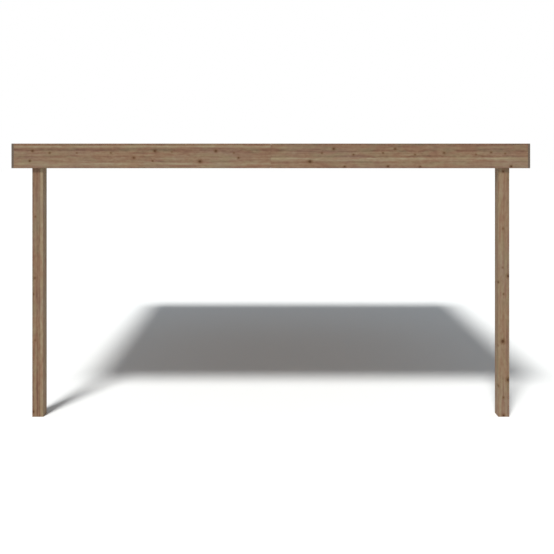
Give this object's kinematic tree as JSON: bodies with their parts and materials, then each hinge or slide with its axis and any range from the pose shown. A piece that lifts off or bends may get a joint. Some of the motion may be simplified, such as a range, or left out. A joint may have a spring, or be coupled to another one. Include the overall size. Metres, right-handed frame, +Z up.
{
  "type": "lean-to wooden pergola",
  "caption": "Lean-to timber pergola with a closed flat roof: square front posts and a wall plate carry a beam, joists in folded hangers, a felted board deck and a deep fascia.",
  "frame": {"origin": "middle of the wall plate's back face, on the wall", "axes": "+X along the wall, +Y into the wall, +Z up"},
  "size_m": [4.2, 3.1, 2.22],
  "materials": {
    "fascia_wood": "matte",
    "post_wood": "matte",
    "frame_wood": "matte",
    "deck_wood": "matte",
    "roof_felt": "matte",
    "galvanised_steel": "satin"
  },
  "bodies": {
    "root": {"corner_bracket_beam_left": "galvanised_steel", "corner_bracket_beam_right": "galvanised_steel", "corner_bracket_wall_left": "galvanised_steel", "corner_bracket_wall_right": "galvanised_steel", "fascia_front_left": "fascia_wood", "fascia_front_right": "fascia_wood", "fascia_left": "fascia_wood", "fascia_right": "fascia_wood", "front_beam": "frame_wood", "hanger_beam_2": "galvanised_steel", "hanger_beam_3": "galvanised_steel", "hanger_beam_4": "galvanised_steel", "hanger_beam_5": "galvanised_steel", "hanger_beam_6": "galvanised_steel", "hanger_wall_2": "galvanised_steel", "hanger_wall_3": "galvanised_steel", "hanger_wall_4": "galvanised_steel", "hanger_wall_5": "galvanised_steel", "hanger_wall_6": "galvanised_steel", "joist_1": "frame_wood", "joist_2": "frame_wood", "joist_3": "frame_wood", "joist_4": "frame_wood", "joist_5": "frame_wood", "joist_6": "frame_wood", "joist_7": "frame_wood", "post_left": "post_wood", "post_right": "post_wood", "post_tie_left": "galvanised_steel", "post_tie_right": "galvanised_steel", "roof_deck": "deck_wood", "roof_felt_1": "roof_felt", "roof_felt_2": "roof_felt", "roof_felt_3": "roof_felt", "roof_fillet_front": "deck_wood", "roof_fillet_left": "deck_wood", "roof_fillet_right": "deck_wood", "wall_plate": "frame_wood"}
  },
  "joints": []
}
